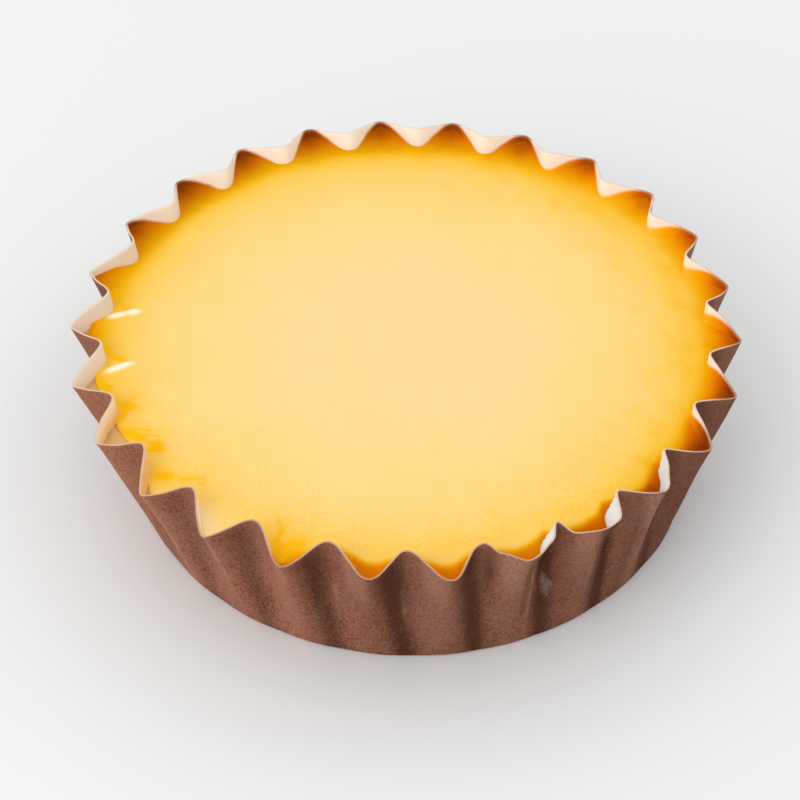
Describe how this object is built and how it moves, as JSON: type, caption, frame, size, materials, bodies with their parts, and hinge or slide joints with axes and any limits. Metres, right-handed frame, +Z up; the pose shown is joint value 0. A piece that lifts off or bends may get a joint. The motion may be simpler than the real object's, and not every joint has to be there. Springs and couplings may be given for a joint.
{
  "type": "cheese tart",
  "caption": "Round baked cheese tart with a smooth golden top browned at the edge, in its own fluted brown paper case with a zigzag rim.",
  "frame": {"origin": "centre of the case's flat underside", "axes": "+Z up out of the open top, +X to the right and -Y towards the front as the tart is usually seen"},
  "size_m": [0.0799, 0.0796, 0.0213],
  "materials": {
    "brown_paper": "matte, slightly grainy outside, pale inside",
    "baked_cheese": "soft satin, smooth baked custard, browned in the flutes"
  },
  "bodies": {
    "root": {"paper_case": "brown_paper", "cheese_filling": "baked_cheese"}
  },
  "joints": []
}
